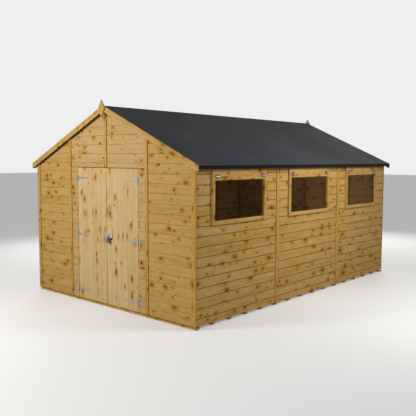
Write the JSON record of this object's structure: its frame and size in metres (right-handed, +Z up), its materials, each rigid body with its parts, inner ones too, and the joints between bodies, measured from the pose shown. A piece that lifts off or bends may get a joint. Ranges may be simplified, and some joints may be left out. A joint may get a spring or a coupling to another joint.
{
  "type": "timber garden shed",
  "caption": "Timber apex garden shed with horizontal boarding, braced double doors on long hinges, framed side windows and a felted roof.",
  "frame": {"origin": "on the ground under the middle of the shed", "axes": "+X along the front with the windows on the +X side, +Y from the front doors towards the back, +Z up"},
  "size_m": [3.15, 4.632, 2.553],
  "materials": {
    "treated_pine": "planed pine boards, dip treated to a honey colour, knotty, matte",
    "sawn_softwood": "rough sawn softwood, matte",
    "mineral_felt": "black bitumen roofing felt with a fine mineral surface",
    "galvanised_steel": "bright zinc plated steel, satin",
    "bright_steel": "polished plated steel",
    "window_glass": "clear horticultural glass"
  },
  "bodies": {
    "shed": {"back_bargeboards": "treated_pine", "back_wall_frame": "sawn_softwood", "back_wall_left": "treated_pine", "back_wall_right": "treated_pine", "corner_strips": "treated_pine", "door_side_left": "treated_pine", "door_side_right": "treated_pine", "eaves_fascias": "sawn_softwood", "finials": "treated_pine", "floor_joists": "sawn_softwood", "floor_panels": "sawn_softwood", "front_bargeboards": "treated_pine", "front_gable_left": "treated_pine", "front_gable_right": "treated_pine", "front_wall_frame": "sawn_softwood", "front_wall_left": "treated_pine", "front_wall_right": "treated_pine", "hinge_plates": "galvanised_steel", "joint_strips": "treated_pine", "left_wall_back": "treated_pine", "left_wall_frame": "sawn_softwood", "left_wall_front": "treated_pine", "left_wall_middle": "treated_pine", "right_wall_back": "treated_pine", "right_wall_frame": "sawn_softwood", "right_wall_front": "treated_pine", "right_wall_middle": "treated_pine", "roof_battens": "sawn_softwood", "roof_boards_left": "sawn_softwood", "roof_boards_right": "sawn_softwood", "roof_felt": "mineral_felt", "roof_trusses": "sawn_softwood", "window_headers": "treated_pine", "window_hinges": "bright_steel", "window_panes": "window_glass", "window_piers": "treated_pine", "window_rails": "treated_pine", "window_stiles": "treated_pine"},
    "left_leaf": {"left_door_boards": "treated_pine", "left_door_bracing": "sawn_softwood", "left_door_straps": "galvanised_steel", "hasp": "galvanised_steel"},
    "right_leaf": {"right_door_boards": "treated_pine", "right_door_bracing": "sawn_softwood", "right_door_straps": "galvanised_steel", "staple": "galvanised_steel", "padlock": "bright_steel"}
  },
  "joints": [
    {"name": "left_door_hinge", "type": "hinge", "parent": "shed", "child": "left_leaf", "pos_m": [-0.586, -2.259, 0.872], "axis": [0, 0, -1], "range_deg": [0, 165]},
    {"name": "right_door_hinge", "type": "hinge", "parent": "shed", "child": "right_leaf", "pos_m": [0.586, -2.259, 0.872], "axis": [0, 0, 1], "range_deg": [0, 165]}
  ]
}
